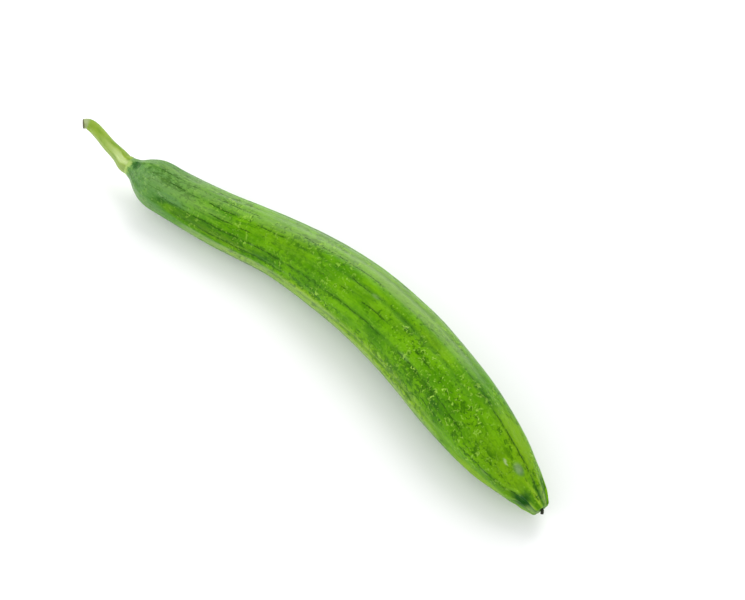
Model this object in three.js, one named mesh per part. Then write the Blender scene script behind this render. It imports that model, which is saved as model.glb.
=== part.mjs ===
// A smooth sponge gourd (loofah) as picked, lying on its side: the fruit, the stem it hung from and the
// dried remnant of its flower. Units are millimetres and +Z is up. +X runs from the stem's cut end towards
// the blossom end, and the origin is on the surface it lies on, under the middle of the whole.

import * as THREE from "three";
import { mergeVertices } from "three/addons/utils/BufferGeometryUtils.js";

// ---- Driving dimensions ----

// The middle of the fruit, from the seat of the stem to the blossom end: x, y and the height above the
// surface that it lies on.
const FRUIT_LINE = [
  [-141.6, -14.9, 18.5],
  [-112, -11.3, 17.2],
  [-76, -4.4, 16.2],
  [-27, 6.3, 17.7],
  [24, 8.6, 20.9],
  [70, 4.4, 21.8],
  [114, -4.6, 21.3],
  [156, -13.6, 18.3],
  [185.8, -19.3, 12.8],
];

// Along that middle: the share of its length, and the radius there.
const FRUIT_GIRTH = [
  [0.0, 5.4],
  [0.016, 6.9],
  [0.034, 10.7],
  [0.055, 13.9],
  [0.075, 15.1],
  [0.1, 15.2],
  [0.17, 15.9],
  [0.25, 17.1],
  [0.32, 17.8],
  [0.4, 19.4],
  [0.5, 21.2],
  [0.6, 22.0],
  [0.7, 22.3],
  [0.78, 22.0],
  [0.85, 20.0],
  [0.9, 17.0],
  [0.94, 13.1],
  [0.96, 10.8],
  [0.98, 8.1],
  [0.993, 5.9],
  [1.0, 4.3],
];
const FRUIT_RIBS = 10;
const FRUIT_RIB_HEIGHT = 0.25;
const FRUIT_RINGS = 54;
const FRUIT_SIDES = 40;

// The stem leaves the fruit straight for this far, then follows these points up to the cut.
const STEM_STRAIGHT = 3;
const STEM_LINE = [
  [-150.7, -14.5, 20.0],
  [-160.7, -14.1, 22.0],
  [-170.7, -13.0, 24.0],
  [-175.8, -13.0, 25.5],
  [-178.9, -14.2, 26.5],
  [-180.6, -16.4, 27.0],
];
const STEM_GIRTH = [
  [0.0, 5.9],
  [0.06, 5.4],
  [0.14, 4.8],
  [0.3, 4.4],
  [0.55, 3.9],
  [0.8, 3.6],
  [0.9, 3.5],
  [0.96, 3.0],
  [1.0, 2.75],
];
const STEM_RIBS = 5;
const STEM_RIB_HEIGHT = 0.3;
const STEM_RINGS = 16;
const STEM_SIDES = 20;

// The dried flower remnant leaves the middle of the blossom end straight, then droops and leans to one side.
const STUB_STRAIGHT = 0.6;
const STUB_TIP = [1.6, -1.5, -1.1];
const STUB_GIRTH = [
  [0.0, 0.95],
  [0.4, 0.75],
  [0.8, 0.8],
  [1.0, 0.6],
];
const STUB_RINGS = 4;
const STUB_SIDES = 8;

// What keeps the three pieces apart where they grow out of each other.
const GAP = 0.3;

const UP = new THREE.Vector3(0, 0, 1);

// ---- Shapes ----

const curveThrough = (points) => new THREE.CatmullRomCurve3(points);

const vectors = (rows) => rows.map((row) => new THREE.Vector3(...row));

// A round body turned from its girth, with low ribs along it, and bent along a line.
// Whatever would reach below the surface it lies on is pressed flat there.
function bentBody({ line, girth, rings, sides, ribs = 0, ribHeight = 0 }) {
  const length = line.getLength();
  const stations = girth.map(([share, radius]) => new THREE.Vector2(radius, share * length));
  const outline = new THREE.SplineCurve(stations).getPoints(rings);
  const profile = [new THREE.Vector2(0, 0), ...outline, new THREE.Vector2(0, length)];
  const turned = new THREE.LatheGeometry(profile, sides);
  turned.deleteAttribute("normal");
  turned.deleteAttribute("uv");
  const body = mergeVertices(turned);
  const place = body.getAttribute("position");
  for (let i = 0; i < place.count; i++) {
    const across = place.getX(i);
    const above = place.getZ(i);
    const share = THREE.MathUtils.clamp(place.getY(i) / length, 0, 1);
    const radius = Math.hypot(across, above);
    const ribbed = radius > 0 ? 1 + (ribHeight / radius) * Math.cos(ribs * Math.atan2(above, across)) : 1;
    const ahead = line.getTangentAt(share);
    const side = new THREE.Vector3().crossVectors(ahead, UP).normalize();
    const over = new THREE.Vector3().crossVectors(side, ahead);
    const point = line
      .getPointAt(share)
      .addScaledVector(side, across * ribbed)
      .addScaledVector(over, above * ribbed);
    place.setXYZ(i, point.x, point.y, Math.max(point.z, 0));
  }
  body.computeVertexNormals();
  return body;
}

// ---- Pieces ----

const fruitLine = curveThrough(vectors(FRUIT_LINE));

function fruit() {
  const skin = new THREE.MeshStandardMaterial({ color: 0x5f9a24, roughness: 0.45, metalness: 0 });
  const geometry = bentBody({
    line: fruitLine,
    girth: FRUIT_GIRTH,
    rings: FRUIT_RINGS,
    sides: FRUIT_SIDES,
    ribs: FRUIT_RIBS,
    ribHeight: FRUIT_RIB_HEIGHT,
  });
  return named("fruit", new THREE.Mesh(geometry, skin));
}

function stem() {
  const stalk = new THREE.MeshStandardMaterial({ color: 0x97b93f, roughness: 0.6, metalness: 0 });
  // It leaves square to the fruit's shoulder.
  const outwards = fruitLine.getTangentAt(0).negate();
  const seat = fruitLine.getPointAt(0).addScaledVector(outwards, GAP);
  const clear = seat.clone().addScaledVector(outwards, STEM_STRAIGHT);
  const line = curveThrough([seat, clear, ...vectors(STEM_LINE)]);
  const geometry = bentBody({
    line,
    girth: STEM_GIRTH,
    rings: STEM_RINGS,
    sides: STEM_SIDES,
    ribs: STEM_RIBS,
    ribHeight: STEM_RIB_HEIGHT,
  });
  return named("stem", new THREE.Mesh(geometry, stalk));
}

function flowerStub() {
  const dried = new THREE.MeshStandardMaterial({ color: 0x1d2412, roughness: 0.85, metalness: 0 });
  const outwards = fruitLine.getTangentAt(1);
  const root = fruitLine.getPointAt(1).addScaledVector(outwards, GAP);
  const clear = root.clone().addScaledVector(outwards, STUB_STRAIGHT);
  const tip = root.clone().add(new THREE.Vector3(...STUB_TIP));
  const geometry = bentBody({
    line: curveThrough([root, clear, tip]),
    girth: STUB_GIRTH,
    rings: STUB_RINGS,
    sides: STUB_SIDES,
  });
  return named("flower_stub", new THREE.Mesh(geometry, dried));
}

function named(name, mesh) {
  mesh.name = name;
  return mesh;
}

// ---- The whole, over its origin ----

const gourd = new THREE.Group();
gourd.add(fruit(), stem(), flowerStub());
const box = new THREE.Box3().setFromObject(gourd, true);
const middle = box.getCenter(new THREE.Vector3());
gourd.position.set(-middle.x, -middle.y, -box.min.z);

export default gourd;
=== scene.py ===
"""The looks of a picked sponge gourd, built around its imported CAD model.

The fruit, its stem and the dried remnant of its flower are fine meshes bent along the same lines as the CAD
pieces that they replace, with procedural materials. Shapes are worked out in millimetres and turned to metres
when a mesh is made.
"""

import itertools
import math

import bpy
import numpy as np
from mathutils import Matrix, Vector


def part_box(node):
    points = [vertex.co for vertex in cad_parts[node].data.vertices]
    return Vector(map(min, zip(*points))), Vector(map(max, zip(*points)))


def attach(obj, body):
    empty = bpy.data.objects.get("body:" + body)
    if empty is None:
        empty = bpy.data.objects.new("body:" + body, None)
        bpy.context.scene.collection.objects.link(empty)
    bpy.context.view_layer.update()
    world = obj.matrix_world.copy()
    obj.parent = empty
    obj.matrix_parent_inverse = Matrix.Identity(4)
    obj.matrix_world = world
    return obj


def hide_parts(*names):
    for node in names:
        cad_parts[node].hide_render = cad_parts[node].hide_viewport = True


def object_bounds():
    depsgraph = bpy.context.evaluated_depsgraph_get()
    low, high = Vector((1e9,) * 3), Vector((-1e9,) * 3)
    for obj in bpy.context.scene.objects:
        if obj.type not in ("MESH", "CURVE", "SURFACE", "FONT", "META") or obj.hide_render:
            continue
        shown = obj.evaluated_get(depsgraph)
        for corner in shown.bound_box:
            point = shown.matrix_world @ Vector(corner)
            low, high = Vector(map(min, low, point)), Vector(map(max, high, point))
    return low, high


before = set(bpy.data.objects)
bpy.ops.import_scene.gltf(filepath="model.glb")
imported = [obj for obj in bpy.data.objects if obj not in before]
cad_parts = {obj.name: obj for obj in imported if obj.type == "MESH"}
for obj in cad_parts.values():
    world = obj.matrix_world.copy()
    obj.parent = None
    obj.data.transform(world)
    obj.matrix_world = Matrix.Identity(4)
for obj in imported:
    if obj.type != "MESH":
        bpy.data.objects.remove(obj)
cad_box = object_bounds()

MM = 0.001

# ---- Driving dimensions, in millimetres, as in the CAD model ----

# What keeps the CAD pieces apart where they grow out of each other.
GAP = 0.3

# The middle of the fruit, from the seat of the stem to the blossom end.
FRUIT_LINE = [
    (-141.6, -14.9, 18.5),
    (-112, -11.3, 17.2),
    (-76, -4.4, 16.2),
    (-27, 6.3, 17.7),
    (24, 8.6, 20.9),
    (70, 4.4, 21.8),
    (114, -4.6, 21.3),
    (156, -13.6, 18.3),
    (185.8, -19.3, 12.8),
]
# Share of that line's length, and the radius there.
FRUIT_GIRTH = [
    (0.0, 5.4),
    (0.016, 6.9),
    (0.034, 10.7),
    (0.055, 13.9),
    (0.075, 15.1),
    (0.1, 15.2),
    (0.17, 15.9),
    (0.25, 17.1),
    (0.32, 17.8),
    (0.4, 19.4),
    (0.5, 21.2),
    (0.6, 22.0),
    (0.7, 22.3),
    (0.78, 22.0),
    (0.85, 20.0),
    (0.9, 17.0),
    (0.94, 13.1),
    (0.96, 10.8),
    (0.98, 8.1),
    (0.993, 5.9),
    (1.0, 4.3),
]
# How far past the end of its line the blossom end's face reaches, and the radius there: it is dished.
FRUIT_FACE = [(0.3, 3.0), (-0.1, 1.8), (-0.5, 0.6)]
# The radius of its thick part, against which its small lumps are scaled.
FRUIT_RADIUS = 22
FRUIT_RINGS = 450
FRUIT_SIDES = 200

# The stem leaves the fruit straight for this far, the gap included, then follows these points to its cut.
STEM_STRAIGHT = 3.3
STEM_LINE = [
    (-150.7, -14.5, 20.0),
    (-160.7, -14.1, 22.0),
    (-170.7, -13.0, 24.0),
    (-175.8, -13.0, 25.5),
    (-178.9, -14.2, 26.5),
    (-180.6, -16.4, 27.0),
]
# Its root lies this far inside the fruit, so that no gap shows.
STEM_ROOT = 6.0
STEM_GIRTH = [
    (0.0, 4.6),
    (0.08, 5.3),
    (0.143, 5.55),
    (0.18, 5.4),
    (0.23, 5.05),
    (0.3, 4.6),
    (0.4, 4.15),
    (0.6, 3.8),
    (0.8, 3.6),
    (0.9, 3.5),
    (0.96, 3.0),
    (1.0, 2.75),
]
STEM_FACE = [(0.1, 2.4), (-0.3, 1.9), (-0.35, 1.2), (-0.7, 0.4)]
# Its usual radius, against which its ribs and lumps are scaled.
STEM_RADIUS = 4
STEM_RIBS = 5
STEM_RIB_HEIGHT = 0.22
# How far round the first rib lies, in radians.
STEM_RIB_TURN = 0.6
# The shares of the stem's length at which its ribs start and are at their full height.
STEM_RIBS_RISE = (0.12, 0.3)
# Its small lumps, drawn out along it.
STEM_LUMP_HEIGHT = 0.1
STEM_LUMP_SIZE = 3
STEM_DRAWN_OUT = (0.3, 1, 1)
STEM_RINGS = 280
STEM_SIDES = 120
# The colour of the cut sets in between these rings, counted from the end.
STEM_CUT_RINGS = (12, 8)
# The turn about the stem's middle at which its painted highlight lies, from the side that faces +Y upwards.
STEM_HIGHLIGHT_TURN = math.radians(112)

# The stub is rooted this far inside the blossom end and leaves it straight for as far as STUB_STRAIGHT says,
# the gap included. Then it droops to its tip, which is measured from past the gap.
STUB_ROOT = 1.0
STUB_STRAIGHT = 0.9
STUB_TIP = (1.6, -1.5, -1.1)
STUB_GIRTH = [(0.0, 1.2), (0.25, 0.95), (0.5, 0.8), (0.8, 0.85), (1.0, 0.6)]
STUB_FACE = [(0.0, 0.3)]
STUB_FOLDS = 5
STUB_FOLD_HEIGHT = 0.12
STUB_LUMP_HEIGHT = 0.15
STUB_LUMP_SIZE = 0.8
STUB_RINGS = 40
STUB_SIDES = 36

# ---- The gourd's ribs and veins ----

RIBS = 10
VEINS = 2 * RIBS
# Share of the length, and the turn of one rib's edge about the middle there, in degrees from the side
# that faces -Y upwards: the ribs wind a little.
EDGE_TURN = [(0.0, 60), (0.2, 58), (0.4, 58), (0.6, 65), (0.76, 69), (0.88, 64), (1.0, 62)]
# The ribs lie a little further apart around that edge, and closer across from it.
SPREAD = 0.1
# How flat the skin is between two edges: 0 is round, 1 is a plane facet. Share of the length, and flatness.
FLATNESS = [
    (0.0, 0.2),
    (0.08, 0.3),
    (0.25, 0.6),
    (0.5, 0.75),
    (0.8, 0.8),
    (0.92, 0.8),
    (0.965, 0.1),
    (1.0, 0.0),
]
# How much that flatness varies, as a share of itself, and over what size, in millimetres.
FLATNESS_VARIES = 0.35
FLATNESS_VARIES_OVER = 45
# How rounded each edge is, as a share of a rib, starting with EDGE_TURN's edge.
ROUNDING = [0.24, 0.05, 0.1, 0.2, 0.08, 0.18, 0.1, 0.22, 0.12, 0.1]
# Ridges, as share of the length and millimetres: low ones that run into the stem, on the edges, and rounded
# ones between the edges where these meet at the blossom end. Then half the width of each, in ribs, how much
# of its height is taken off all round, so that the gourd gets no thicker, and how much its height varies.
NECK_RIDGES = [(0.0, 0.0), (0.03, 0.3), (0.06, 0.35), (0.12, 0.0), (1.0, 0.0)]
NECK_RIDGE_WIDTH = 0.16
NECK_RIDGE_LOWERED = 0.3
SNOUT_RIDGES = [(0.0, 0.0), (0.9, 0.0), (0.94, 0.15), (0.965, 0.7), (0.985, 1.2), (1.0, 1.0)]
SNOUT_RIDGE_WIDTH = 0.17
SNOUT_RIDGE_LOWERED = 0.35
SNOUT_RIDGES_VARY = 0.5
SNOUT_RIDGES_VARY_OVER = 5

# Unevenness of the skin, in millimetres: the height and the size of its broad swells and its small lumps,
# which are both drawn out along the gourd. The swells fade at its ends, between these shares of the length.
SWELL_HEIGHT = 0.35
SWELL_SIZE = 38
SWELLS_START = (0.0, 0.08)
SWELLS_STOP = (1.0, 0.97)
LUMP_HEIGHT = 0.10
LUMP_SIZE = 9
DRAWN_OUT = (0.6, 1, 1)

# The strongest veins: number, counted from EDGE_TURN's edge, where they start and stop along the gourd, and
# how strong they are there. Even numbers run on the edges.
VEIN_RUNS = [
    (3, 0.10, 0.145, 0.8),
    (3, 0.18, 0.24, 0.8),
    (3, 0.25, 0.28, 0.7),
    (2, 0.07, 0.13, 0.7),
    (2, 0.14, 0.19, 0.6),
    (2, 0.20, 0.29, 0.8),
    (2, 0.33, 0.38, 0.5),
    (2, 0.38, 0.56, 0.8),
    (2, 0.60, 0.72, 0.5),
    (2, 0.72, 0.80, 0.6),
    (2, 0.80, 0.98, 0.9),
    (1, 0.055, 0.145, 0.75),
    (1, 0.15, 0.18, 0.6),
    (1, 0.19, 0.25, 1.0),
    (1, 0.26, 0.30, 0.5),
    (1, 0.30, 0.36, 0.9),
    (1, 0.38, 0.42, 0.6),
    (1, 0.50, 0.58, 0.7),
    (1, 0.59, 0.66, 0.5),
    (0, 0.165, 0.195, 0.5),
    (0, 0.20, 0.25, 0.9),
    (0, 0.26, 0.29, 0.8),
    (0, 0.43, 0.47, 0.6),
    (0, 0.50, 0.53, 0.5),
    (0, 0.55, 0.61, 0.9),
    (0, 0.68, 0.74, 0.8),
    (-1, 0.10, 0.17, 0.7),
    (-1, 0.17, 0.27, 1.2),
    (-1, 0.27, 0.37, 0.9),
    (-1, 0.38, 0.47, 0.7),
    (-1, 0.48, 0.62, 0.8),
    (-1, 0.65, 0.84, 0.7),
    (-1, 0.88, 0.95, 0.6),
    (-2, 0.13, 0.20, 0.7),
    (-2, 0.20, 0.30, 1.0),
    (-2, 0.30, 0.38, 0.8),
    (-2, 0.44, 0.50, 0.4),
    (-2, 0.57, 0.63, 0.6),
    (-2, 0.75, 0.81, 0.8),
    (-2, 0.85, 0.97, 0.8),
    (-3, 0.30, 0.36, 0.4),
    (-3, 0.42, 0.56, 0.35),
    (-3, 0.62, 0.72, 0.25),
]
# The veins past this number either way, on the sides that face away and down, are left to chance: where
# the first run starts, how long a run is, how strong, how long a break, and where no run starts any more.
LAST_PLACED_VEIN = 3
VEIN_SEED = 17
CHANCE_START = (0.05, 0.15)
CHANCE_RUN = (0.03, 0.12)
CHANCE_STRENGTH = (0.2, 0.9)
CHANCE_BREAK = (0.01, 0.08)
CHANCE_END = 0.95
# A run fades in and out over this share of the length to each side of where it starts and stops.
VEIN_FADE = 0.008
# The groove along a vein: its depth and half its width, in millimetres.
GROOVE_DEPTH = 0.22
GROOVE_WIDTH = 1.4

# Hollows and swellings of the skin, given like the patches below, in millimetres.
DENTS = [
    (0.970, 0.022, -32, 30, -2.2),
    (0.978, 0.02, -66, 26, -1.2),
    (0.975, 0.03, 52, 16, -0.5),
    (0.16, 0.1, -29, 13, -0.3),
    (0.045, 0.02, -28, 8, -0.4),
    (0.022, 0.012, 15, 20, -0.3),
    (0.5, 0.05, 10, 20, 0.25),
    (0.8, 0.04, -10, 25, 0.3),
]

# Soft patches on the skin: the middle and half of the length, as shares, then the middle and half of the
# turn from EDGE_TURN's edge, in degrees, and how strong the patch is. First the pale facets, which are
# nearly oblong and have a sharper border: waxy bloom and a painted sheen where they would catch the lights,
# with painted highlights along the lower edge. Then soft spots.
BLOOM_AND_SHEEN_CORNER = 8
BLOOM_AND_SHEEN_CRISP = 14
BLOOM_AND_SHEEN_PATCHES = [
    (0.51, 0.275, 53.5, 20, 0.5),
    (0.56, 0.2, 45, 10.5, 0.3),
    (0.25, 0.1, -62, 15, 1.1),
    (0.43, 0.09, -60, 17, 0.65),
    (0.58, 0.07, -72, 13, 0.7),
    (0.74, 0.07, -72, 13, 0.6),
    (0.62, 0.24, 165, 22, 0.6),
    (0.3, 0.2, -140, 20, 0.5),
]
# Soft spots: waxy bloom, with a painted reflection and painted glints among them.
WAX_AND_GLINT_SPOTS = [
    (0.16, 0.09, 54, 22, 0.6),
    (0.37, 0.17, 58, 24, 0.4),
    (0.27, 0.14, 29, 9, 0.5),
    (0.11, 0.1, 8, 26, 0.35),
    (0.15, 0.1, 5, 8, 0.35),
    (0.06, 0.05, -62, 22, 0.5),
    # A waxy patch, partly a painted reflection, then two painted glints beside it.
    (0.935, 0.0095, 18, 8, 1.2),
    (0.914, 0.003, 6.5, 1.8, 3.0),
    (0.918, 0.004, 4.5, 1.5, 3.0),
    (0.905, 0.008, -38, 4, 0.8),
    (0.679, 0.012, -16, 3, 0.7),
    (0.563, 0.008, 17, 2.5, 0.7),
    (0.643, 0.003, 13, 2, 1.2),
    (0.298, 0.005, -18, 1.6, 0.7),
    (0.99, 0.016, 56, 17, 1.3),
    (0.987, 0.02, -55, 36, 1.3),
]
# Where the skin is darker: partly its own deeper tone, partly painted shade, in the hollow at the blossom end
# and on top of the neck.
DARK_AND_SHADED_PATCHES = [
    (0.15, 0.06, -21, 4, 0.4),
    (0.22, 0.1, -29, 10, 0.5),
    (0.15, 0.055, -32, 12, 0.35),
    (0.985, 0.02, -74, 16, 0.2),
    (0.92, 0.035, -42, 11, 0.4),
    (0.103, 0.01, -25, 5, 0.8),
    (0.022, 0.010, 18, 20, 1.1),
    (0.017, 0.004, 36, 7, 0.8),
    (0.045, 0.01, -28, 5, 0.5),
    (0.06, 0.07, 66, 26, 0.3),
    (0.33, 0.03, -28, 8, 0.5),
    (0.46, 0.03, -25, 7, 0.35),
    (0.6, 0.03, -25, 6, 0.4),
    (0.775, 0.03, -25, 4, 0.8),
    (0.79, 0.03, -40, 5, 0.3),
    (0.72, 0.1, -34, 14, 0.15),
    (0.82, 0.035, 35, 9, 0.4),
    (0.974, 0.012, -36, 40, 1.3),
    (0.961, 0.008, -42, 12, 0.7),
    (0.944, 0.004, 19, 5, 0.4),
    (0.988, 0.014, -36, 8, 0.5),
    (0.988, 0.014, -62, 8, 0.5),
    (0.985, 0.016, 36, 4, 0.8),
    (0.4, 0.12, 120, 16, 0.3),
    (0.7, 0.14, -110, 20, 0.3),
]
# Where it is yellower: partly the skin's own tone, partly painted light that brightens its shaded underside
# and lower edge.
YELLOW_AND_LIT_PATCHES = [
    (0.9, 0.06, 52, 24, 1.2),
    (0.36, 0.07, 18, 20, 0.45),
    (0.6, 0.1, 14, 14, 0.3),
    (0.6, 0.22, -50, 9, 0.5),
    (0.9, 0.055, -64, 12, 1.5),
    (0.66, 0.15, -60, 19, 1.3),
    (0.45, 0.08, -52, 14, 1.0),
    (0.7, 0.045, 24, 9, 0.6),
    (0.6, 0.12, 55, 20, 0.6),
    (0.94, 0.03, 0, 40, 0.6),
    (0.89, 0.04, -5, 22, 0.4),
    (0.43, 0.27, -64, 15, 1.0),
    (0.985, 0.016, 21, 9, 1.6),
    (0.08, 0.012, 46, 6, 0.8),
    (0.16, 0.06, -33, 10, 0.3),
    (0.24, 0.06, -33, 9, 0.8),
    (0.28, 0.06, -60, 12, 1.1),
    (0.43, 0.05, -46, 8, 0.8),
    (0.05, 0.05, 40, 26, 0.4),
    (0.5, 0.4, 170, 30, 0.4),
]
# Where the skin is greyish: the neck, but for two bands along it, a small bluish patch, and the tip.
# Partly the skin's own grey-green, partly painted: a sheen on the neck and a reflection on the patch near the
# tip.
GREY_AND_SHEEN_PATCHES = [
    (0.0, 0.155, 0, 400, 0.95),
    (0.05, 0.05, 50, 24, -0.45),
    (0.16, 0.07, -31, 13, -0.9),
    (0.13, 0.035, -13, 9, 0.45),
    (0.936, 0.0095, 18, 8.5, 1.0),
    (0.985, 0.022, -66, 44, 0.6),
]
# Where the skin is rough, with many small wrinkles and warts.
ROUGH_PATCHES = [
    (0.12, 0.05, 25, 18, 0.25),
    (0.12, 0.05, -36, 8, 0.4),
    (0.055, 0.04, 0, 60, 0.35),
    (0.27, 0.03, -24, 7, 0.8),
    (0.33, 0.02, 8, 6, 0.6),
    (0.37, 0.03, -6, 8, 0.6),
    (0.46, 0.06, -33, 9, 0.9),
    (0.58, 0.08, -43, 6, 0.6),
    (0.65, 0.02, 12, 6, 0.8),
    (0.66, 0.03, -38, 8, 0.7),
    (0.7, 0.03, 15, 16, 0.8),
    (0.71, 0.05, -20, 9, 0.9),
    (0.79, 0.06, 10, 20, 0.85),
    (0.87, 0.05, 2, 22, 0.6),
    (0.8, 0.1, -26, 12, 0.9),
    (0.77, 0.05, -6, 12, 0.5),
    (0.81, 0.02, 36, 10, 0.7),
    (0.96, 0.012, 50, 14, 0.9),
    (0.985, 0.012, 20, 8, 1.0),
]
# Where it is smooth, with neither mottles nor wrinkles.
PLAIN_PATCHES = [
    (0.9, 0.05, 50, 18, 0.9),
    (0.9, 0.08, -64, 12, 0.8),
    (0.885, 0.03, 8, 14, 0.6),
    (0.94, 0.035, 5, 25, 0.4),
    (0.6, 0.1, 54, 14, 0.5),
    (0.4, 0.1, 3, 20, 0.45),
    (0.59, 0.1, -24, 22, 0.55),
    (0.7, 0.045, 30, 14, 0.6),
]

# ---- Colours, as linear red, green and blue ----

DEEP_GREEN = (0.062, 0.223, 0.001)
BRIGHT_GREEN = (0.121, 0.330, 0.002)
END_GREEN = (0.16, 0.375, 0.004)
# Yellower skin, partly painted light on the shaded underside.
YELLOW_AND_LIT_GREEN = (0.20, 0.38, 0.008)
# Greyish skin, partly a painted sheen and reflection.
GREY_AND_SHEEN_GREEN = (0.078, 0.215, 0.052)
DARK_GRAIN = (0.02, 0.10, 0.001)
PALE_GRAIN = (0.20, 0.42, 0.025)
# Painted highlight on the blossom end's ridges, and painted shade in the hollows between them.
PAINTED_RIDGE_HIGHLIGHT = (0.30, 0.50, 0.03)
PAINTED_HOLLOW_SHADE = (0.025, 0.13, 0.008)
BESIDE_VEIN = (0.028, 0.125, 0.001)
DARK_STREAK = (0.03, 0.13, 0.004)
PALE_STREAK = (0.19, 0.40, 0.03)
DARK_FLECK = (0.022, 0.105, 0.002)
# Waxy bloom, partly a painted sheen.
WAX_AND_SHEEN = (0.39, 0.49, 0.24)
VEIN_GREEN = (0.015, 0.075, 0.002)
# Darker patches, partly painted shade.
DARK_AND_SHADE_GREEN = (0.010, 0.08, 0.008)
STALK_GREEN = (0.32, 0.46, 0.12)
# Painted shadow beside the wrinkles, then their pale colours, partly painted glints.
WRINKLE_SHADOW = (0.020, 0.095, 0.002)
PALE_WRINKLE_AND_GLINT = (0.34, 0.60, 0.07)
GREYISH_WRINKLE_AND_GLINT = (0.28, 0.46, 0.16)

STEM_GREEN = (0.138, 0.262, 0.006)
STEM_BRIGHT = (0.225, 0.34, 0.018)
STEM_STREAK = (0.31, 0.41, 0.06)
STEM_UNDERSIDE = (0.32, 0.40, 0.17)
# A painted highlight along the stem, whitest at its foot.
STEM_HIGHLIGHT = (0.42, 0.54, 0.18)
STEM_FOOT_HIGHLIGHT = (0.60, 0.70, 0.34)
STEM_MARK = (0.10, 0.19, 0.01)
STEM_END = (0.42, 0.45, 0.26)
CUT_RIM = (0.05, 0.04, 0.015)
CUT_FACE = (0.38, 0.37, 0.23)

DRIED_DARK = (0.006, 0.009, 0.004)
DRIED_BROWN = (0.03, 0.035, 0.012)
FLOOR_WHITE = (0.93, 0.93, 0.93, 1.0)

# ---- Sizes of the marks on the skin and the stem, in millimetres ----

VEIN_WAVER_SIZE = 9
# The width in which a vein strays, in turns of one vein's spacing.
VEIN_STRAYS = 0.38
VEIN_DASH_LENGTH = 3.2
VEIN_RAGGED_SIZE = 1.0
# How far from a vein the band beside it ends, and is at its strongest.
BESIDE_REACH = (1.7, 0.3)
STREAK_SIZE = 1.1
FLECK_SIZE = 2.2
FLECKED_REGION_SIZE = 22
CLOUD_SIZE = 8
GRAIN_SIZE = 1.1
WRINKLE_SIZE = 5.0
SMALL_WRINKLE_SIZE = 3.6
WRINKLED_REGION_SIZE = 24
DOT_SPACING = 1.9
STEM_WOBBLE_SIZE = 5
STEM_STREAK_SIZE = 1.4
STEM_CLOUD_SIZE = 3.0
STEM_MARK_SIZE = 1.8
CRUMPLE_SIZE = 0.5

# ---- Camera and lights, with angles in degrees, distances in metres and the lens in millimetres ----

CAMERA_AZIMUTH = 43.54
CAMERA_ELEVATION = 55.0
CAMERA_DISTANCE = 1.02
CAMERA_LENS = 85.0
# Where it aims, from the middle of the gourd's box, on the floor.
CAMERA_AIM = (0.0198, 0.0233)
# How far round from the camera each light stands, how high, how far from the origin, how wide and tall it
# is, and its power in watts.
LIGHTS = {
    "key": (155, 52, 1.4, (0.9, 0.9), 7.5),
    "fill": (-80, 24, 1.5, (1.2, 0.8), 9),
    "back_panel": (166, 14, 1.3, (0.8, 0.6), 3.2),
}
SKY_COLOUR = (0.98, 0.99, 1.0, 1.0)
SKY_STRENGTH = 0.88
# How far the floor reaches from the origin each way.
FLOOR_HALF = 8.0


# ---- Lines and noise ----

POINTS_PER_SPAN = 60
NOISE_TABLE = 256
# What brings the noise to about -1 to 1, and how far one layer of it is shifted against the last.
NOISE_GAIN = 1.6
NOISE_SHIFT = 31.7


def smooth_through(points):
    """Points close together on a centripetal Catmull-Rom curve through the given ones."""
    points = np.array(points, float)
    ends = (2 * points[0] - points[1], 2 * points[-1] - points[-2])
    padded = np.vstack([ends[0], points, ends[1]])
    part = np.linspace(0, 1, POINTS_PER_SPAN, endpoint=False)[:, None]
    pieces = []
    for before, start, stop, after in zip(padded, padded[1:], padded[2:], padded[3:]):
        gap_in = math.sqrt(np.linalg.norm(start - before))
        gap = math.sqrt(np.linalg.norm(stop - start))
        gap_out = math.sqrt(np.linalg.norm(after - stop))
        leave = (start - before) / gap_in - (stop - before) / (gap_in + gap) + (stop - start) / gap
        arrive = (stop - start) / gap - (after - start) / (gap + gap_out) + (after - stop) / gap_out
        leave, arrive = leave * gap, arrive * gap
        square = 3 * (stop - start) - 2 * leave - arrive
        cube = 2 * (start - stop) + leave + arrive
        pieces.append(start + leave * part + square * part**2 + cube * part**3)
    return np.vstack(pieces + [points[-1:]])


def measured(points):
    """How far along each of these points lies, from the first."""
    steps = np.linalg.norm(np.diff(points, axis=0), axis=1)
    return np.concatenate([[0], np.cumsum(steps)])


class Line:
    """A smooth line through points in space, measured along its length."""

    def __init__(self, points):
        self.points = smooth_through(points)
        self.distance = measured(self.points)
        self.length = self.distance[-1]
        ahead = np.gradient(self.points, self.distance, axis=0)
        self.ahead = ahead / np.linalg.norm(ahead, axis=1)[:, None]

    def read(self, table, distance):
        return np.stack([np.interp(distance, self.distance, column) for column in table.T], axis=1)

    def at(self, distance):
        """The points at these distances, with the way ahead, the level side and what is over it there."""
        ahead = self.read(self.ahead, distance)
        ahead /= np.linalg.norm(ahead, axis=1)[:, None]
        side = np.cross(ahead, (0, 0, 1))
        side /= np.linalg.norm(side, axis=1)[:, None]
        return self.read(self.points, distance), ahead, side, np.cross(side, ahead)


def along(stations, share):
    """A value given at a few shares of a length, read smoothly at others."""
    at, value = np.array(stations, float).T
    slope = np.gradient(value, at)
    span = np.clip(np.searchsorted(at, share) - 1, 0, len(at) - 2)
    gap = at[span + 1] - at[span]
    part = np.clip((share - at[span]) / gap, 0, 1)
    rise = part * part * (3 - 2 * part)
    leave, arrive = part * (1 - part) ** 2, part * part * (part - 1)
    level = value[span] * (1 - rise) + value[span + 1] * rise
    return level + gap * (leave * slope[span] + arrive * slope[span + 1])


def ramp(value, low, high):
    """0 at low and before it, 1 at high and past it, smooth between. high may be the smaller one."""
    part = np.clip((value - low) / (high - low), 0, 1)
    return part * part * (3 - 2 * part)


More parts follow.
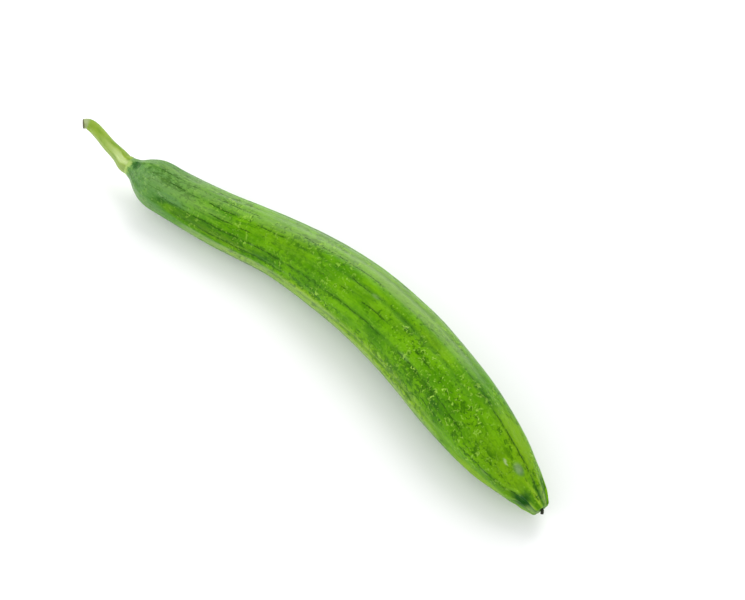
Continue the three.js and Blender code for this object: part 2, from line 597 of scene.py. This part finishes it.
def noise(points, grain, seed, layers=1):
    """Smooth noise of about -1 to 1 over an array of points, with features of about one grain."""
    rng = np.random.default_rng(seed)
    order = rng.permutation(NOISE_TABLE)
    slopes = rng.normal(size=(NOISE_TABLE, 3))
    slopes /= np.linalg.norm(slopes, axis=1)[:, None]
    total = 0
    for layer in range(layers):
        scaled = points * (2**layer / grain) + NOISE_SHIFT * layer
        cell = np.floor(scaled).astype(int)
        local = scaled - cell
        fade = local**3 * (local * (local * 6 - 15) + 10)
        for corner in itertools.product((0, 1), repeat=3):
            near = cell + corner
            pick = order[near[..., 0] % NOISE_TABLE]
            pick = order[(pick + near[..., 1]) % NOISE_TABLE]
            pick = order[(pick + near[..., 2]) % NOISE_TABLE]
            weight = np.prod(np.where(corner, fade, 1 - fade), axis=-1)
            total = total + weight * np.sum(slopes[pick] * (local - corner), axis=-1) / 2**layer
    return NOISE_GAIN * total


def wrap(turn):
    """An angle brought to between -pi and pi."""
    return (turn + math.pi) % (2 * math.pi) - math.pi


# ---- Meshes ----


def grid_mesh(name, rows, attributes):
    """A closed mesh from rings of points that run from one end to the other, each end closed by one point.

    rows is rings x sides x 3 in millimetres. Each attribute is one number or vector for each point of rows.
    """
    rings, sides, _ = rows.shape
    ends = rows[[0, -1]].mean(axis=1)
    points = np.vstack([rows.reshape(-1, 3), ends])
    ring, side = np.meshgrid(np.arange(rings - 1), np.arange(sides), indexing="ij")
    here, beside = ring * sides + side, ring * sides + (side + 1) % sides
    quads = np.stack([here, beside, beside + sides, here + sides], axis=-1).reshape(-1, 4)
    around = np.arange(sides)
    onwards = (around + 1) % sides
    first_end, last_ring = rings * sides, (rings - 1) * sides
    first_cap = np.stack([np.full(sides, first_end), onwards, around], axis=1)
    last_cap = np.stack([np.full(sides, first_end + 1), last_ring + around, last_ring + onwards], axis=1)
    faces = [tuple(face) for group in (quads, first_cap, last_cap) for face in group.tolist()]
    mesh = bpy.data.meshes.new(name)
    mesh.from_pydata((points * MM).tolist(), [], faces)
    for key, values in attributes.items():
        flat = values.reshape(rings * sides, -1)
        flat = np.vstack([flat, flat[:sides].mean(axis=0), flat[-sides:].mean(axis=0)])
        kind, field = ("FLOAT_VECTOR", "vector") if flat.shape[1] == 3 else ("FLOAT", "value")
        mesh.attributes.new(key, kind, "POINT").data.foreach_set(field, flat.astype(np.float32).ravel())
    mesh.shade_smooth()
    mesh.update()
    return mesh


def add_piece(name, mesh, material, node):
    """An object for one piece, which stands for a CAD node and rides with it."""
    mesh.materials.append(material)
    piece = bpy.data.objects.new(name, mesh)
    bpy.context.scene.collection.objects.link(piece)
    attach(piece, "root")
    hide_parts(node)


def outline(girth, face, length, rings):
    """How far along a line each ring lies, and its radius, from the girth given and over the end's face."""
    stations = [(share * length, radius) for share, radius in girth]
    curve = smooth_through(stations + [(length + beyond, radius) for beyond, radius in face])
    distance = measured(curve)
    even = np.linspace(0, distance[-1], rings)
    return np.interp(even, distance, curve[:, 0]), np.interp(even, distance, curve[:, 1])


def turned(line, girth, face, rings, sides):
    """A round body, ring by ring: how far along the line each point lies, which way round and how far out."""
    along_line, radius = outline(girth, face, line.length, rings)
    turn = np.arange(sides) * 2 * math.pi / sides
    along_line, turn = np.meshgrid(along_line, turn, indexing="ij")
    return along_line, turn, np.repeat(radius[:, None], sides, axis=1)


def laid_straight(along_line, turn, radius):
    """The points of such a body if its line ran straight, for the noise and the materials."""
    return np.stack([along_line, radius * np.cos(turn), radius * np.sin(turn)], axis=-1)


def bend(line, along_line, turn, radius):
    """Points around a line, pressed flat where they would reach below the surface that the gourd lies on."""
    centre, ahead, side, over = line.at(along_line[:, 0])
    beyond = np.maximum(along_line[:, 0] - line.length, 0)
    centre = centre + beyond[:, None] * ahead
    points = (
        centre[:, None]
        + side[:, None] * (radius * np.cos(turn))[..., None]
        + over[:, None] * (radius * np.sin(turn))[..., None]
    )
    points[..., 2] = np.maximum(points[..., 2], 0)
    return points


# ---- The fruit ----


def soft_patches(patches, share, turn, corner=2, crisp=4):
    """The sum of patches: ovals, or nearly oblong if corner is high.

    The higher crisp is, the sharper is their edge.
    """
    total = 0
    for middle, half, about, spread, strength in patches:
        aside = np.abs(wrap(turn - math.radians(about))) / math.radians(spread)
        off = np.abs(share - middle) / half
        total = total + strength * np.exp(-((off**corner + aside**corner) ** (crisp / corner)))
    return total


def vein_runs():
    """The runs of all veins: those that are placed, then those left to chance."""
    rng = np.random.default_rng(VEIN_SEED)
    runs = list(VEIN_RUNS)
    for number in range(LAST_PLACED_VEIN + 1, VEINS - LAST_PLACED_VEIN):
        start = rng.uniform(*CHANCE_START)
        while start < CHANCE_END:
            stop = start + rng.uniform(*CHANCE_RUN)
            runs.append((number, start, stop, rng.uniform(*CHANCE_STRENGTH)))
            start = stop + rng.uniform(*CHANCE_BREAK)
    return runs


def vein_strength(share, turn):
    """How strong the nearest vein is, and how far away it is in turns of one vein's spacing."""
    lane = turn * VEINS / (2 * math.pi)
    nearest = np.round(lane)
    strength = np.zeros_like(share)
    for number, start, stop, strong in vein_runs():
        rise = ramp(share, start - VEIN_FADE, start + VEIN_FADE)
        fall = ramp(share, stop + VEIN_FADE, stop - VEIN_FADE)
        here = nearest % VEINS == number % VEINS
        strength = np.maximum(strength, strong * (rise * fall) * here)
    return strength, np.abs(lane - nearest)


def rib_facets(ribs, off_edge):
    """How far the skin stands out, as a share of the radius, if it is a plane between two rounded edges.

    The edges stand out and the middles lie in, by amounts that leave the average about as it is.
    """
    rounding = np.array(ROUNDING)[np.round(ribs).astype(int) % RIBS]
    half_rib = math.pi / RIBS
    softened = np.minimum(np.sqrt(off_edge**2 + (rounding * (1 - 2 * off_edge)) ** 2), 0.5)
    return 1 / np.cos(half_rib * (1 - 2 * softened)) - 1 / math.cos(half_rib / math.sqrt(3))


def ridges(heights, share, off, width, lowered):
    """Rounded ridges along the gourd, where off is how far their tops are, in ribs."""
    return along(heights, share) * (np.exp(-((off / width) ** 2)) - lowered)


def fruit_form(line):
    """The fruit's rings: where along the line, which way round and how far out, and what varies over them."""
    along_line, turn, girth = turned(line, FRUIT_GIRTH, FRUIT_FACE, FRUIT_RINGS, FRUIT_SIDES)
    share = along_line / line.length
    rib_turn = turn - np.radians(along(EDGE_TURN, share))
    rib_turn = wrap(rib_turn - SPREAD * np.sin(rib_turn))
    straight = laid_straight(along_line, rib_turn, girth)

    ribs = rib_turn * RIBS / (2 * math.pi)
    off_edge = np.abs(ribs - np.round(ribs))
    uneven = 1 + FLATNESS_VARIES * noise(straight, FLATNESS_VARIES_OVER, seed=3)
    radius = girth * (1 + along(FLATNESS, share) * uneven * rib_facets(ribs, off_edge))
    ridge = ridges(SNOUT_RIDGES, share, 0.5 - off_edge, SNOUT_RIDGE_WIDTH, SNOUT_RIDGE_LOWERED)
    ridge = ridge * (1 + SNOUT_RIDGES_VARY * noise(straight, SNOUT_RIDGES_VARY_OVER, seed=8))
    radius += ridge + ridges(NECK_RIDGES, share, off_edge, NECK_RIDGE_WIDTH, NECK_RIDGE_LOWERED)

    drawn_out = straight * DRAWN_OUT
    body = ramp(share, *SWELLS_START) * ramp(share, *SWELLS_STOP)
    radius += SWELL_HEIGHT * body * noise(drawn_out, SWELL_SIZE, seed=11, layers=2)
    radius += LUMP_HEIGHT * (girth / FRUIT_RADIUS) * noise(drawn_out, LUMP_SIZE, seed=5, layers=3)
    strength, off_vein = vein_strength(share, rib_turn)
    off_vein = off_vein * girth * 2 * math.pi / VEINS
    radius -= GROOVE_DEPTH * strength * np.exp(-((off_vein / GROOVE_WIDTH) ** 2))
    radius += soft_patches(DENTS, share, rib_turn)

    bloom_and_sheen = soft_patches(BLOOM_AND_SHEEN_PATCHES, share, rib_turn, BLOOM_AND_SHEEN_CORNER, BLOOM_AND_SHEEN_CRISP)
    varies = {
        "straight": straight,
        "vein": strength,
        "bloom_and_sheen": bloom_and_sheen + soft_patches(WAX_AND_GLINT_SPOTS, share, rib_turn),
        "dark": soft_patches(DARK_AND_SHADED_PATCHES, share, rib_turn),
        "yellow_and_lit": soft_patches(YELLOW_AND_LIT_PATCHES, share, rib_turn),
        "rough": np.minimum(soft_patches(ROUGH_PATCHES, share, rib_turn), 1),
        "grey_and_sheen": np.clip(soft_patches(GREY_AND_SHEEN_PATCHES, share, rib_turn), 0, 1),
        "plain": np.minimum(soft_patches(PLAIN_PATCHES, share, rib_turn), 1),
        "ridge": ridge,
    }
    return along_line, turn, radius, varies


def make_fruit(points, varies, length):
    mesh = grid_mesh("gourd_skin", points, varies)
    add_piece("gourd_skin", mesh, skin_material(length), "fruit")


# ---- The stem and the flower stub ----


def make_stem(line, offset):
    start, ahead, _, _ = line.at(np.array([0.0]))
    root, outwards = start[0] + STEM_ROOT * ahead[0], -ahead[0]
    clear = start[0] + STEM_STRAIGHT * outwards
    stalk = Line([root, start[0], clear] + [np.array(point) for point in STEM_LINE])
    along_line, turn, radius = turned(stalk, STEM_GIRTH, STEM_FACE, STEM_RINGS, STEM_SIDES)
    straight = laid_straight(along_line, turn, radius)
    share = along_line / stalk.length
    thick = radius / STEM_RADIUS
    rib_height = STEM_RIB_HEIGHT * thick * ramp(share, *STEM_RIBS_RISE)
    radius = radius + rib_height * np.cos(STEM_RIBS * turn + STEM_RIB_TURN)
    lumps = noise(straight * STEM_DRAWN_OUT, STEM_LUMP_SIZE, seed=21, layers=2)
    radius += STEM_LUMP_HEIGHT * thick * lumps
    cut_start, cut_full = (STEM_RINGS - rings for rings in STEM_CUT_RINGS)
    cut = ramp(np.arange(STEM_RINGS), cut_start, cut_full)
    cut = np.repeat(cut[:, None], STEM_SIDES, axis=1)
    points = bend(stalk, along_line, turn, radius)
    mesh = grid_mesh("stem_skin", points + offset, {"straight": straight, "cut": cut})
    add_piece("stem_skin", mesh, stem_material(stalk.length), "stem")


def make_stub(line, offset):
    end, ahead, _, _ = line.at(np.array([line.length]))
    end, ahead = end[0], ahead[0]
    stub = Line([end - STUB_ROOT * ahead, end + STUB_STRAIGHT * ahead, end + GAP * ahead + STUB_TIP])
    along_line, turn, radius = turned(stub, STUB_GIRTH, STUB_FACE, STUB_RINGS, STUB_SIDES)
    straight = laid_straight(along_line, turn, radius)
    lumps = noise(straight, STUB_LUMP_SIZE, seed=31, layers=2)
    radius = radius + STUB_FOLD_HEIGHT * np.cos(STUB_FOLDS * turn) + STUB_LUMP_HEIGHT * lumps
    points = bend(stub, along_line, turn, radius)
    mesh = grid_mesh("dried_flower", points + offset, {"straight": straight})
    add_piece("dried_flower", mesh, dried_material(), "flower_stub")


# ---- Materials ----

# How far the places are shifted that the noise and the cells of each next seed are read at.
NOISE_STEP = (7.3, 3.1, 5.7)
CELLS_STEP = 4.1
# The same from one vein to the next, for their dashes.
VEIN_STEP = 7.7


class Shader:
    """The node tree of one material, with short ways to add nodes to it."""

    def __init__(self, name):
        self.material = bpy.data.materials.new(name)
        self.material.use_nodes = True
        self.tree = self.material.node_tree
        self.tree.nodes.clear()
        self.surface = self.tree.nodes.new("ShaderNodeBsdfPrincipled")
        output = self.tree.nodes.new("ShaderNodeOutputMaterial")
        self.tree.links.new(self.surface.outputs["BSDF"], output.inputs["Surface"])

    def feed(self, socket, value):
        """Links a socket to another node's output, or sets it."""
        if isinstance(value, bpy.types.NodeSocket):
            self.tree.links.new(value, socket)
        else:
            socket.default_value = value

    def set(self, **values):
        """Sets or links the surface's own sockets, by name with _ for a space."""
        for name, value in values.items():
            self.feed(self.surface.inputs[name.replace("_", " ")], value)

    def attribute(self, name, output="Fac"):
        """What the mesh holds under that name."""
        made = self.tree.nodes.new("ShaderNodeAttribute")
        made.attribute_name = name
        return made.outputs[output]

    def math(self, operation, *values):
        made = self.tree.nodes.new("ShaderNodeMath")
        made.operation = operation
        for socket, value in zip(made.inputs, values):
            self.feed(socket, value)
        return made.outputs[0]

    def times(self, *values):
        """The product of several numbers."""
        product = values[0]
        for value in values[1:]:
            product = self.math("MULTIPLY", product, value)
        return product

    def scaled(self, place, scale, shift):
        """A place times scale, plus shift."""
        made = self.tree.nodes.new("ShaderNodeVectorMath")
        made.operation = "MULTIPLY_ADD"
        for socket, value in zip(made.inputs, (place, scale, shift)):
            self.feed(socket, value)
        return made.outputs[0]

    def parts(self, vector):
        made = self.tree.nodes.new("ShaderNodeSeparateXYZ")
        self.feed(made.inputs[0], vector)
        return made.outputs

    def together(self, x, y, z):
        made = self.tree.nodes.new("ShaderNodeCombineXYZ")
        for socket, value in zip(made.inputs, (x, y, z)):
            self.feed(socket, value)
        return made.outputs[0]

    def noise(self, place, grain, seed=0, detail=2.0, rough=0.5, long=1.0, swirl=0.0):
        """Noise from 0 to 1 with features of about one grain, stretched along the gourd if long is over 1."""
        made = self.tree.nodes.new("ShaderNodeTexNoise")
        scale = (1 / (grain * long), 1 / grain, 1 / grain)
        shift = tuple(step * seed for step in NOISE_STEP)
        self.feed(made.inputs["Vector"], self.scaled(place, scale, shift))
        for name, value in (("Scale", 1.0), ("Detail", detail), ("Roughness", rough), ("Distortion", swirl)):
            made.inputs[name].default_value = value
        return made.outputs[0]

    def cells(self, place, grain, seed=0):
        """Cells of about one grain: how far each point is from its cell's middle, and the cell's colour."""
        made = self.tree.nodes.new("ShaderNodeTexVoronoi")
        made.feature = "F1"
        self.feed(made.inputs["Vector"], self.scaled(place, (1 / grain,) * 3, (CELLS_STEP * seed,) * 3))
        made.inputs["Scale"].default_value = 1.0
        return made.outputs

    def creases(self, place, grain, seed, low):
        """Short crooked lines where one noise is half and another above low, and painted shadows beside them.
        """
        field = self.noise(place, grain, seed, detail=2.5, rough=0.55, swirl=0.4)
        spots = self.noise(place, 0.6 * grain, seed + 3, detail=1)
        off = self.math("SUBTRACT", field, 0.5)
        line = self.between(self.math("ABSOLUTE", off), 0.062, 0.018)
        foot = self.between(self.math("ABSOLUTE", self.math("SUBTRACT", off, 0.075)), 0.06, 0.02)
        cuts = self.noise(place, 0.55 * grain, seed + 5, detail=1)
        cuts = self.between(cuts, 0.44, 0.52)
        pale = self.times(line, cuts, self.between(spots, low, low + 0.07))
        return pale, self.times(foot, cuts, self.between(spots, low - 0.04, low + 0.04))

    def between(self, value, low, high, start=0.0, stop=1.0):
        """start at low and before it, stop at high and past it, smooth between. high may be smaller."""
        made = self.tree.nodes.new("ShaderNodeMapRange")
        made.interpolation_type = "SMOOTHSTEP"
        for name, given in (
            ("Value", value),
            ("From Min", low),
            ("From Max", high),
            ("To Min", start),
            ("To Max", stop),
        ):
            self.feed(made.inputs[name], given)
        return made.outputs[0]

    def mix(self, share, one, other):
        """A colour between two others."""
        made = self.tree.nodes.new("ShaderNodeMix")
        made.data_type = "RGBA"
        self.feed(made.inputs["Factor"], share)
        for key, value in (("A_Color", one), ("B_Color", other)):
            socket = next(socket for socket in made.inputs if socket.identifier == key)
            self.feed(socket, value if isinstance(value, bpy.types.NodeSocket) else (*value, 1.0))
        return next(socket for socket in made.outputs if socket.identifier == "Result_Color")

    def layered(self, colour, layers):
        """A colour with others laid over it in turn, each by its own share."""
        for share, other in layers:
            colour = self.mix(share, colour, other)
        return colour

    def bump(self, height, depth, below=None):
        """A normal raised where height is 1 by depth millimetres, over another normal if one is given."""
        made = self.tree.nodes.new("ShaderNodeBump")
        made.inputs["Distance"].default_value = depth * MM
        self.feed(made.inputs["Height"], height)
        if below is not None:
            self.feed(made.inputs["Normal"], below)
        return made.outputs[0]


class Skin(Shader):
    """The gourd's skin, with its noises and its marks as numbers from 0 to 1 over it."""

    def __init__(self, length):
        super().__init__("gourd_skin")
        self.place = self.attribute("straight", "Vector")
        self.distance, self.across, self.above = self.parts(self.place)
        self.share = self.math("DIVIDE", self.distance, length)
        self.uneven = self.between(self.attribute("plain"), 0.0, 1.0, 1.0, 0.0)
        self.streaks = self.noise(self.place, STREAK_SIZE, seed=21, detail=2, long=9.0)
        self.ragged = self.noise(self.place, FLECK_SIZE, seed=6, detail=4, rough=0.65, long=1.7, swirl=0.5)
        self.clouds = self.noise(self.place, CLOUD_SIZE, seed=8, detail=3, rough=0.52, long=2.2)
        self.grain = self.noise(self.place, GRAIN_SIZE, seed=12, detail=3, rough=0.6, long=1.5)
        self.vein, self.beside = self.veins()
        # The wrinkles, partly painted glints, and their feet, which are painted shadow.
        self.wrinkle, self.foot = self.wrinkles()

    def veins(self):
        """Thin broken lines along the gourd, on the ribs' edges and between them, and a band beside each."""
        squares = (self.times(part, part) for part in (self.across, self.above))
        girth = self.math("SQRT", self.math("ADD", *squares))
        turn = self.times(self.math("ARCTAN2", self.above, self.across), VEINS / (2 * math.pi))
        waver = self.noise(self.place, VEIN_WAVER_SIZE, seed=1, detail=4, rough=0.6)
        lane = self.math("MULTIPLY_ADD", self.math("SUBTRACT", waver, 0.5), VEIN_STRAYS, turn)
        number = self.math("ROUND", lane)
        aside = self.math("ABSOLUTE", self.math("SUBTRACT", lane, number))
        aside = self.times(aside, girth, 2 * math.pi / VEINS)
        strength = self.attribute("vein")
        dash = self.times(self.distance, 1 / VEIN_DASH_LENGTH)
        dash_place = self.together(dash, self.times(number, VEIN_STEP), 0.0)
        dashes = self.noise(dash_place, 1, seed=2, detail=3, rough=0.65)
        dash = self.between(self.math("MULTIPLY_ADD", strength, 0.24, dashes), 0.56, 0.74)
        width = self.noise(self.place, VEIN_RAGGED_SIZE, seed=4, detail=2)
        width = self.math("MULTIPLY_ADD", width, self.math("MULTIPLY_ADD", strength, 0.7, 0.4), -0.28)
        line = self.between(self.math("SUBTRACT", aside, width), 0.18, -0.08)
        return self.times(line, dash), self.times(self.between(aside, *BESIDE_REACH), strength)

    def fine_streaks(self):
        """Fine broken streaks along the gourd, most of them on its neck: the dark ones and the pale ones."""
        on_neck = self.between(self.share, 0.42, 0.22, 0.45, 1.0)
        dark = self.times(self.between(self.streaks, 0.57, 0.66), on_neck)
        return dark, self.times(self.between(self.streaks, 0.44, 0.3), on_neck)

    def flecks(self):
        """Dark flecks and blotches, which gather beside the veins and where the skin is rough."""
        region = self.noise(self.place, FLECKED_REGION_SIZE, seed=7, detail=2, long=1.8)
        flecked = self.math("MULTIPLY_ADD", region, 0.5, self.ragged)
        flecked = self.math("MULTIPLY_ADD", self.beside, 0.06, flecked)
        flecked = self.math("MULTIPLY_ADD", self.attribute("rough"), 0.07, flecked)
        flecked = self.math("ADD", flecked, self.between(self.share, 0.2, 0.1, 0.0, -0.07))
        return self.times(self.between(flecked, 0.78, 0.89), self.uneven)

    def wrinkles(self):
        """Short pale wrinkles, partly a painted glint, most of them where the skin is rough, and their feet
        of painted shadow.
        """
        region = self.noise(self.place, WRINKLED_REGION_SIZE, seed=13, detail=1)
        some = self.between(region, 0.42, 0.62, 0.08, 0.55)
        rough = self.times(self.math("MAXIMUM", self.attribute("rough"), some), self.uneven)
        wrinkle, foot = self.creases(self.place, WRINKLE_SIZE, 14, 0.53)
        small, small_shadow = self.creases(self.place, SMALL_WRINKLE_SIZE, 24, 0.55)
        wrinkle = self.times(self.math("MAXIMUM", wrinkle, self.times(small, 0.7)), rough)
        return wrinkle, self.times(self.math("MAXIMUM", foot, small_shadow), rough)

    def dots(self):
        """Small round dots: the pale ones and the dark ones."""
        cells = self.cells(self.place, DOT_SPACING, seed=3)
        dot = self.times(self.between(cells["Distance"], 0.34, 0.12), self.uneven)
        pick = self.parts(cells["Color"])[1]
        return self.times(dot, self.between(pick, 0.8, 0.88)), self.times(dot, self.between(pick, 0.28, 0.2))

    def bloom_and_sheen(self):
        """The waxy bloom and a painted sheen, worn off in places."""
        wax = self.math("MAXIMUM", self.attribute("bloom_and_sheen"), self.between(self.share, 0.14, 0.05, 0.0, 0.2))
        worn = self.between(self.math("MULTIPLY_ADD", self.ragged, 0.4, self.clouds), 0.9, 0.6, 0.7, 1.0)
        return self.times(wax, worn)

    def stalk(self):
        """The pale skin round the foot of the stem, with a ragged border, but not on the upper far side."""
        ragged = self.math("MULTIPLY_ADD", self.math("SUBTRACT", self.streaks, 0.5), 0.016, self.share)
        return self.times(self.between(ragged, 0.012, 0.005), self.between(self.above, 4.5, 1.5))

    def colour(self):
        """The skin's green, with its broad changes laid over it first and its marks after them."""
        green = self.mix(self.between(self.clouds, 0.37, 0.65), DEEP_GREEN, BRIGHT_GREEN)
        grey_and_sheen = self.attribute("grey_and_sheen")
        ridge = self.attribute("ridge")
        dark_grain = self.times(self.between(self.grain, 0.22, 0.5, 0.38, 0.0), self.uneven)
        dark_streak, pale_streak = self.fine_streaks()
        pale_dot, dark_dot = self.dots()
        raised = self.mix(grey_and_sheen, PALE_WRINKLE_AND_GLINT, GREYISH_WRINKLE_AND_GLINT)
        layers = [
            (self.between(self.share, 0.78, 0.96, 0.0, 0.6), END_GREEN),
            # Yellower patches, partly painted light on the underside.
            (self.times(self.attribute("yellow_and_lit"), 0.6), YELLOW_AND_LIT_GREEN),
            # Greyish patches, partly a painted sheen and reflection.
            (grey_and_sheen, GREY_AND_SHEEN_GREEN),
            (dark_grain, DARK_GRAIN),
            (self.between(self.grain, 0.55, 0.78, 0.0, 0.38), PALE_GRAIN),
            # Painted highlight on the blossom end's ridges and painted shade between them.
            (self.between(ridge, 0.1, 0.5, 0.0, 0.45), PAINTED_RIDGE_HIGHLIGHT),
            (self.between(ridge, -0.08, -0.3, 0.0, 0.5), PAINTED_HOLLOW_SHADE),
            (self.times(self.beside, 0.17), BESIDE_VEIN),
            (self.times(dark_streak, 0.62), DARK_STREAK),
            (self.times(pale_streak, 0.35), PALE_STREAK),
            (self.times(self.flecks(), 0.75), DARK_FLECK),
            (self.times(dark_dot, 0.5), DARK_FLECK),
            # Waxy bloom, partly a painted sheen where the facets would catch the lights.
            (self.times(self.bloom_and_sheen(), 0.3), WAX_AND_SHEEN),
            (self.times(self.vein, 0.8), VEIN_GREEN),
            # Darker patches, partly painted shade.
            (self.times(self.attribute("dark"), 0.8), DARK_AND_SHADE_GREEN),
            (self.stalk(), STALK_GREEN),
            # Painted shadow beside the wrinkles, then the wrinkles and pale dots, partly painted glints.
            (self.times(self.foot, 0.75), WRINKLE_SHADOW),
            (self.times(self.wrinkle, 0.85), raised),
            (self.times(pale_dot, 0.35), raised),
        ]
        return self.layered(green, layers)

    def relief(self):
        """The normal: what stands out or is sunk, and by how many millimetres."""
        normal = self.bump(self.grain, 0.09)
        normal = self.bump(self.ragged, 0.35, normal)
        normal = self.bump(self.streaks, 0.06, normal)
        normal = self.bump(self.vein, -0.2, normal)
        return self.bump(self.wrinkle, 0.35, normal)


def skin_material(length):
    skin = Skin(length)
    skin.set(
        Base_Color=skin.colour(),
        Roughness=skin.between(skin.clouds, 0.2, 0.8, 0.3, 0.42),
        IOR=1.35,
        Specular_IOR_Level=0.26,
        Specular_Tint=(0.6, 1.0, 0.1, 1.0),
        Sheen_Weight=0.025,
        Sheen_Roughness=0.3,
        Sheen_Tint=(0.7, 1.0, 0.2, 1.0),
        Normal=skin.relief(),
        Subsurface_Weight=0.06,
        Subsurface_Scale=0.002,
        Subsurface_Radius=(0.5, 1.0, 0.2),
    )
    return skin.material


def stem_material(length):
    shader = Shader("stem_skin")
    place = shader.attribute("straight", "Vector")
    distance, across, above = shader.parts(place)
    share = shader.math("DIVIDE", distance, length)
    streaks = shader.noise(place, STEM_STREAK_SIZE, seed=3, detail=2, long=7.0)
    clouds = shader.noise(place, STEM_CLOUD_SIZE, seed=8, detail=3, long=2.5)
    marks = shader.noise(place, STEM_MARK_SIZE, seed=5, detail=3, long=2.0)

    # How far the skin lies from the middle of its painted highlight, on the way down from there, and
    # whether it is on that side at all.
    cosine, sine = math.cos(STEM_HIGHLIGHT_TURN), math.sin(STEM_HIGHLIGHT_TURN)
    wobble = shader.math("SUBTRACT", shader.noise(place, STEM_WOBBLE_SIZE, seed=6, detail=2, long=2.0), 0.5)
    aside = shader.math("SUBTRACT", shader.times(above, cosine), shader.times(across, sine))
    aside = shader.math("MULTIPLY_ADD", wobble, 2.0, aside)
    facing = shader.math("ADD", shader.times(across, cosine), shader.times(above, sine))
    facing = shader.between(facing, -1.0, 1.5)
    under = shader.times(shader.between(aside, 1.2, 3.5), shader.between(share, 0.95, 0.7))
    # A painted highlight along that side, and a whiter one towards the stem's foot.
    near = shader.times(facing, shader.between(shader.math("ABSOLUTE", aside), 2.6, 0.5))
    foot = shader.times(near, shader.between(share, 0.45, 0.26), shader.between(streaks, 0.4, 0.56, 0.4, 1.0))

    green = shader.mix(shader.between(clouds, 0.3, 0.7), STEM_GREEN, STEM_BRIGHT)
    layers = [
        (shader.between(streaks, 0.45, 0.7, 0.0, 0.3), STEM_STREAK),
        (shader.times(under, 0.4), STEM_UNDERSIDE),
        (shader.times(near, shader.between(share, 0.75, 0.3, 0.05, 0.7)), STEM_HIGHLIGHT),
        (shader.times(foot, 0.75), STEM_FOOT_HIGHLIGHT),
        (shader.times(shader.between(marks, 0.62, 0.74), 0.4), STEM_MARK),
        (shader.between(share, 0.9, 0.96, 0.0, 0.65), STEM_END),
        (shader.between(share, 0.985, 0.995, 0.0, 0.85), CUT_RIM),
        (shader.attribute("cut"), CUT_FACE),
    ]
    shader.set(
        Base_Color=shader.layered(green, layers),
        Roughness=0.5,
        IOR=1.35,
        Specular_IOR_Level=0.4,
        Normal=shader.bump(streaks, 0.15),
        Subsurface_Weight=0.1,
        Subsurface_Scale=0.002,
        Subsurface_Radius=(0.6, 1.0, 0.2),
    )
    return shader.material


def dried_material():
    shader = Shader("dried_flower")
    place = shader.attribute("straight", "Vector")
    crumple = shader.noise(place, CRUMPLE_SIZE, seed=5, detail=4)
    brown = shader.mix(crumple, DRIED_DARK, DRIED_BROWN)
    shader.set(Base_Color=brown, Roughness=0.8, Normal=shader.bump(crumple, 0.15))
    return shader.material


def floor_material():
    shader = Shader("floor")
    shader.set(Base_Color=FLOOR_WHITE, Roughness=0.6, IOR=1.3)
    return shader.material


# ---- Studio ----


def aim(thing, target):
    """Turns a camera or a light, which look along their own -Z, towards a point."""
    thing.rotation_euler = (Vector(target) - thing.location).to_track_quat("-Z", "Y").to_euler()


def direction(azimuth, elevation):
    """The unit vector towards a place that far round from -Y and that high, in degrees."""
    azimuth, elevation = math.radians(azimuth), math.radians(elevation)
    level = math.cos(elevation)
    return Vector((math.sin(azimuth) * level, -math.cos(azimuth) * level, math.sin(elevation)))


def add_camera():
    low, high = cad_box
    middle = (Vector(low) + Vector(high)) / 2
    target = Vector((middle.x + CAMERA_AIM[0], middle.y + CAMERA_AIM[1], 0.0))
    data = bpy.data.cameras.new("camera")
    data.lens = CAMERA_LENS
    camera = bpy.data.objects.new("camera", data)
    camera.location = target + CAMERA_DISTANCE * direction(CAMERA_AZIMUTH, CAMERA_ELEVATION)
    aim(camera, target)
    bpy.context.scene.collection.objects.link(camera)
    bpy.context.scene.camera = camera


def add_light(name, azimuth, elevation, distance, size, power):
    data = bpy.data.lights.new(name, "AREA")
    data.shape = "RECTANGLE"
    data.size, data.size_y = size
    data.energy = power
    light = bpy.data.objects.new(name, data)
    light.location = distance * direction(azimuth, elevation)
    aim(light, (0, 0, 0))
    bpy.context.scene.collection.objects.link(light)


def add_floor():
    mesh = bpy.data.meshes.new("floor")
    corners = [(x * FLOOR_HALF, y * FLOOR_HALF, 0) for x, y in ((-1, -1), (1, -1), (1, 1), (-1, 1))]
    mesh.from_pydata(corners, [], [(0, 1, 2, 3)])
    mesh.materials.append(floor_material())
    floor = bpy.data.objects.new("floor", mesh)
    bpy.context.scene.collection.objects.link(floor)


def add_sky():
    world = bpy.data.worlds.new("world")
    world.use_nodes = True
    background = world.node_tree.nodes["Background"]
    background.inputs["Color"].default_value = SKY_COLOUR
    background.inputs["Strength"].default_value = SKY_STRENGTH
    bpy.context.scene.world = world


def add_studio():
    add_floor()
    for name, (round_from_camera, *others) in LIGHTS.items():
        add_light(name, CAMERA_AZIMUTH + round_from_camera, *others)
    add_sky()
    bpy.context.scene.view_settings.view_transform = "Standard"


def offset_to_cad(points):
    """The move that brings the fruit onto its CAD node, because the CAD model was moved over its origin."""
    low, high = (np.array(corner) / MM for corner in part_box("fruit"))
    least, most = points.min(axis=(0, 1)), points.max(axis=(0, 1))
    offset = (low + high - least - most) / 2
    offset[2] = low[2] - least[2]
    return offset


def main():
    add_camera()
    add_studio()
    line = Line(FRUIT_LINE)
    along_line, turn, radius, varies = fruit_form(line)
    points = bend(line, along_line, turn, radius)
    offset = offset_to_cad(points)
    make_fruit(points + offset, varies, line.length)
    make_stem(line, offset)
    make_stub(line, offset)


main()
